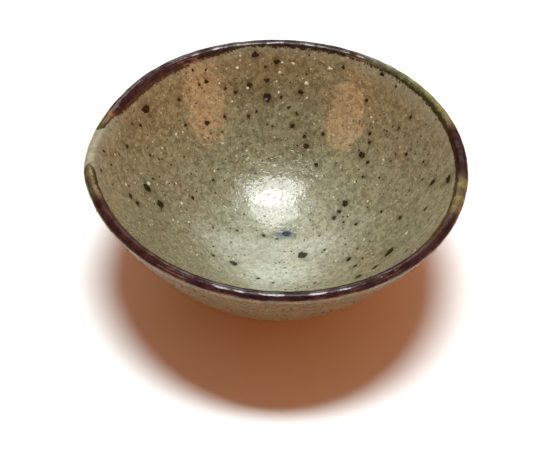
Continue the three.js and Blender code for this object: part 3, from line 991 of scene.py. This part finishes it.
class MakeLip(bpy.types.Operator):
    """Make the coloured glaze band over the lip"""
    bl_idname = "teabowl.make_lip"
    bl_label = "Lip band"

    def execute(self, context):
        dress(glazed("lip_band", context, lip_finish), "iron_glaze", *LIP_NODES)
        return {"FINISHED"}


class MakeOutside(bpy.types.Operator):
    """Make the thin glaze coat outside, down to its rolled edge above the foot"""
    bl_idname = "teabowl.make_outside"
    bl_label = "Outside glaze"

    def execute(self, context):
        dress(glazed("outside_coat", context, thin_finish), "thin_glaze", "outside_glaze")
        return {"FINISHED"}


class MakeClay(bpy.types.Operator):
    """Make the bare clay wall and the turned foot ring"""
    bl_idname = "teabowl.make_clay"
    bl_label = "Clay wall and foot"

    def execute(self, context):
        sizes = context.scene.bowl_sizes
        section = Section(sizes)
        finish = clay_finish(context.scene.bowl_looks)
        for name, node, loop in (("clay_wall", "clay_body", self.wall_loop(sizes, section)),
                                 ("foot", "foot_ring", self.foot_loop(sizes))):
            piece = turned(name, sizes, loop)
            piece.data.materials.append(finish)
            if node == "clay_body":
                # The wall gets its line of painted shade under the glaze's end
                mark_painted_shade(piece.data, section)
            dress(piece, "clay", node)
        return {"FINISHED"}

    def wall_loop(self, sizes, section):
        """The clay's whole section: the recess, the trimmed lower wall, and the wall under the glazes"""
        around = np.ones(AROUND)
        recess_top = sizes.foot_bottom_radius - sizes.foot_width - sizes.recess_taper
        recess = [(recess_top * part, sizes.recess_depth - self.recess_shape(part))
                  for part in np.linspace(0, 1, RECESS_STEPS)]
        recess = np.array(recess).T[:, :, None] * around
        height = np.linspace(0, 1, TRIM_STEPS)[:, None] * (section.clay[1, -1] - sizes.foot_height)
        lower = np.stack(section.outside(section.outside_share(height + sizes.foot_height)))
        fade = np.sin(np.linspace(0, math.pi, TRIM_STEPS))[:, None]
        cut = TRIM_DEPTH * np.abs(np.sin(np.linspace(0, TRIM_CUTS * math.pi, TRIM_STEPS)))[:, None] * fade
        lower = lower + section.lean[:, -1:] * -cut
        under = section.clay[:, ::-1]
        return np.concatenate([recess, lower, under[:, 1::3], under[:, -1:]], axis=1)

    def recess_shape(self, part):
        """The low nub and the turning grooves in the recess"""
        nub = NUB_HEIGHT * math.exp(-(part / NUB_REACH) ** 2)
        groove = GROOVE_HEIGHT * math.sin(part * GROOVE_WAVES) * (1 - part) * min(1, part * GROOVE_START)
        return (nub + groove) * MM

    def foot_loop(self, sizes):
        """The foot ring's section, with its edges worn round"""
        outer, edge = sizes.foot_bottom_radius, sizes.foot_edge
        inner = outer - sizes.foot_width
        recess_top = inner - sizes.recess_taper
        corner = np.linspace(0, math.pi / 2, FOOT_EDGE_STEPS)
        worn = edge - edge * np.cos(corner)
        inner_edge = np.stack([inner + worn, edge - edge * np.sin(corner)])
        outer_edge = np.stack([outer - edge + edge * np.sin(corner), worn])
        inner_wall = np.linspace((recess_top, sizes.recess_depth), (inner, edge), FOOT_INSIDE_STEPS).T
        top = sizes.foot_top_radius, sizes.foot_height
        outer_wall = np.linspace((outer, edge), top, FOOT_OUTSIDE_STEPS).T[:, 1:]
        loop = [outer_wall[:, -1:], inner_wall[:, :-1], inner_edge, outer_edge, outer_wall[:, :-1]]
        return np.concatenate(loop, axis=1)[:, :, None] * np.ones(AROUND)


class MakeSpots(bpy.types.Operator):
    """Make the iron spots that burn through the inside glaze"""
    bl_idname = "teabowl.make_spots"
    bl_label = "Iron spots"

    def execute(self, context):
        looks = context.scene.bowl_looks
        below = skin_of(bpy.data.objects["inside_coat"], bpy.data.objects["lip_band"])
        finish = spot_finish("iron_spots", tuple(looks.iron_spot), fired(62, 48, 27), 0.6, fired(44, 50, 38))
        lay_spots("iron_spots", "iron_glaze", finish, below, IRON_SPOTS, seed=0, ragged=2.3)
        finish = spot_finish("blue_smear", fired(44, 45, 54), fired(74, 76, 88), 0.5)
        lay_spots(
            "blue_smear", "iron_glaze", finish, below, [BLUE_SMEAR], seed=91, lean=SMEAR_LEAN, ragged=1.36)
        finish = spot_finish("pale_grains", tuple(looks.feldspar), fired(216, 212, 190), 0.3)
        lay_spots("pale_grains", "ash_glaze", finish, below, PALE_GRAINS, seed=200, height=0.09)
        finish = spot_finish("lilac_heart", fired(104, 78, 104), fired(150, 128, 146), 0.3)
        lay_spots("lilac_heart", "iron_glaze", finish, below, [LILAC_HEART], seed=300, height=0.11)
        return {"FINISHED"}


# What is strewn over the coats: the piece's name and slot, the coat, the grains per square metre, the
# smallest and the largest in millimetres, their flatness, and the seed
STREWINGS = (
    ("inside_specks", "iron_glaze", "inside_coat", 16000.0, 0.14, 0.44, 0.3, 4),
    ("inside_grains", "ash_glaze", "inside_coat", 16000.0, 0.12, 0.3, 0.35, 17),
    ("outside_specks", "iron_glaze", "outside_coat", 22000.0, 0.14, 0.5, 0.3, 23),
    ("outside_grains", "ash_glaze", "outside_coat", 16000.0, 0.12, 0.4, 0.35, 31),
)


class MakeGrains(bpy.types.Operator):
    """Strew the small iron specks and the pale feldspar grains over both coats"""
    bl_idname = "teabowl.make_grains"
    bl_label = "Specks and grains"

    def execute(self, context):
        looks = context.scene.bowl_looks
        tree = scattered_grains()
        finishes = {
            "iron_glaze": spot_finish("iron_specks", tuple(looks.iron_spot), fired(64, 50, 30), 0.5),
            "ash_glaze": spot_finish("feldspar_grains", tuple(looks.feldspar), fired(150, 142, 112), 0.35),
        }
        for name, slot, coat, density, smallest, largest, flatness, seed in STREWINGS:
            piece = bpy.data.objects.new(name, bpy.data.objects[coat].data.copy())
            context.collection.objects.link(piece)
            sizes = zip(STREWN, (density, smallest * MM, largest * MM, flatness, seed))
            grown(piece, tree, {**dict(sizes), "Finish": finishes[slot]})
            dress(piece, slot)
        return {"FINISHED"}


# The lights: the name, place, width and height in metres, watts, colour, and whether it shows only in matt
# surfaces or only in glossy ones
LIGHTS = (
    ("overhead", (0, -0.035, 1.9), 0.72, 0.28, 45.0, (0.84, 0.97, 1.0), "matt"),
    ("tent", (0, 0, 1.2), 1.8, 1.8, 1.0, (0.95, 0.98, 1.0), "matt"),
    ("glow", (0.02, -0.10, 1.0), 0.78, 0.36, 5.9, (0.96, 0.99, 1.0), "glossy"),
    ("glow_end", (0.02, 0.11, 1.0), 0.6, 0.5, 5.0, (0.96, 0.99, 1.0), "glossy"),
    ("soft_glow", (0, 0, 1.0), 1.1, 0.9, 3.0, (0.97, 1.0, 1.0), "glossy"),
    ("backdrop", (0, 1.1, 0.98), 1.9, 0.7, 7.5, (0.9, 0.98, 1.0), "glossy"),
    ("warm_right", (0.47, -0.31, 0.38), 0.32, 0.22, 0.56, (1.0, 0.47, 0.23), "glossy"),
    ("warm_left", (-0.47, -0.30, 0.39), 0.32, 0.24, 0.58, (1.0, 0.46, 0.22), "glossy"),
)
LIT_MIDDLE = Vector((0, 0, 0.03))

CAMERA_RISE, CAMERA_DISTANCE, CAMERA_ROLL = math.radians(41.25), 0.400, math.radians(1.43)
FOCAL_PIXELS, IMAGE_WIDTH, SENSOR_WIDTH = 1059.6, 550, 36
RIM_MIDDLE, AIMED_AT = Vector((0, 0, 0.066)), Vector((-0.0002, 0, 0.0264))


class MakeStage(bpy.types.Operator):
    """Make the floor, the lights and the camera"""
    bl_idname = "teabowl.make_stage"
    bl_label = "Floor, lights and camera"

    def execute(self, context):
        bpy.ops.mesh.primitive_plane_add(size=6)
        floor = context.object
        floor.name = "floor"
        white, shader, _ = new_finish("floor", 0.9)
        shader["Base Color"].default_value = (0.9, 0.89, 0.88, 1)
        floor.data.materials.append(white)
        self.warm_room(context)
        for light in LIGHTS:
            self.add_light(context, *light)
        self.aim_camera(context)
        context.scene.view_settings.view_transform = "Standard"
        return {"FINISHED"}

    def warm_room(self, context):
        """A dim, warm room around the bowl, white where the camera looks past the floor"""
        world = bpy.data.worlds.new("warm_room")
        world.use_nodes = True
        w = Wiring(world.node_tree)
        warm = world.node_tree.nodes["Background"]
        warm.inputs["Color"].default_value = (0.40, 0.122, 0.036, 1)
        x, _, z = w.parts(w.node("ShaderNodeTexCoord").outputs["Generated"])
        path = w.node("ShaderNodeLightPath").outputs
        strength = w.times(w.between(z, 0.0, 0.75, 2.9, 0.52), w.ramp(x, 0.4, 1.0))
        w.feed(warm.inputs["Strength"], w.times(strength, w.ramp(path["Is Glossy Ray"], -0.5, 1.0)))
        plain = w.node("ShaderNodeBackground", {"Color": (1, 1, 1, 1), "Strength": 1.0}).outputs[0]
        both = w.node("ShaderNodeMixShader", {0: path["Is Camera Ray"], 1: warm.outputs[0], 2: plain})
        w.feed(world.node_tree.nodes["World Output"].inputs["Surface"], both.outputs[0])
        context.scene.world = world

    def add_light(self, context, name, place, width, height, energy, tint, surfaces):
        lamp = bpy.data.lights.new(name, "AREA")
        lamp.shape = "ELLIPSE"
        lamp.size, lamp.size_y = width, height
        lamp.energy = energy
        lamp.color = tint
        light = bpy.data.objects.new(name, lamp)
        turn = (Vector(place) - LIT_MIDDLE).to_track_quat("Z", "Y").to_matrix().to_4x4()
        light.matrix_world = Matrix.Translation(place) @ turn
        light.visible_camera = False
        light.visible_diffuse = surfaces == "matt"
        light.visible_glossy = surfaces == "glossy"
        context.collection.objects.link(light)

    def aim_camera(self, context):
        """Looks at the bowl from the near side, at the angle and distance of the photograph."""
        back = Vector((0, -math.cos(CAMERA_RISE), math.sin(CAMERA_RISE)))
        place = RIM_MIDDLE + middle_shift() + CAMERA_DISTANCE * back
        ahead = (AIMED_AT + middle_shift() - place).normalized()
        level = ahead.cross(Vector((0, 0, 1))).normalized()
        upright = level.cross(ahead)
        right = level * math.cos(CAMERA_ROLL) + upright * math.sin(CAMERA_ROLL)
        up = upright * math.cos(CAMERA_ROLL) - level * math.sin(CAMERA_ROLL)
        data = bpy.data.cameras.new("camera")
        data.sensor_width = SENSOR_WIDTH
        data.lens = FOCAL_PIXELS / IMAGE_WIDTH * SENSOR_WIDTH
        camera = bpy.data.objects.new("camera", data)
        camera.matrix_world = Matrix.Translation(place) @ Matrix((right, up, -ahead)).transposed().to_4x4()
        context.collection.objects.link(camera)
        context.scene.camera = camera


class BowlPanel(bpy.types.Panel):
    """The bowl's sizes, colours and steps"""
    bl_idname = "VIEW3D_PT_tea_bowl"
    bl_label = "Tea Bowl"
    bl_space_type = "VIEW_3D"
    bl_region_type = "UI"
    bl_category = "Tea Bowl"

    def draw(self, context):
        for group in (context.scene.bowl_sizes, context.scene.bowl_looks):
            for key in group.__annotations__:
                self.layout.prop(group, key)
        for operator in OPERATORS:
            self.layout.operator(operator.bl_idname)


OPERATORS = (MakeInside, MakeLip, MakeOutside, MakeClay, MakeSpots, MakeGrains, MakeStage)
CLASSES = (BowlSizes, BowlLooks, *OPERATORS, BowlPanel)


def register():
    for cls in CLASSES:
        bpy.utils.register_class(cls)
    bpy.types.Scene.bowl_sizes = bpy.props.PointerProperty(type=BowlSizes)
    bpy.types.Scene.bowl_looks = bpy.props.PointerProperty(type=BowlLooks)


def unregister():
    del bpy.types.Scene.bowl_looks
    del bpy.types.Scene.bowl_sizes
    for cls in reversed(CLASSES):
        bpy.utils.unregister_class(cls)


def main():
    register()
    bpy.ops.teabowl.make_inside()
    bpy.ops.teabowl.make_lip()
    bpy.ops.teabowl.make_outside()
    bpy.ops.teabowl.make_clay()
    bpy.ops.teabowl.make_spots()
    bpy.ops.teabowl.make_grains()
    bpy.ops.teabowl.make_stage()


if __name__ == "__main__":
    main()
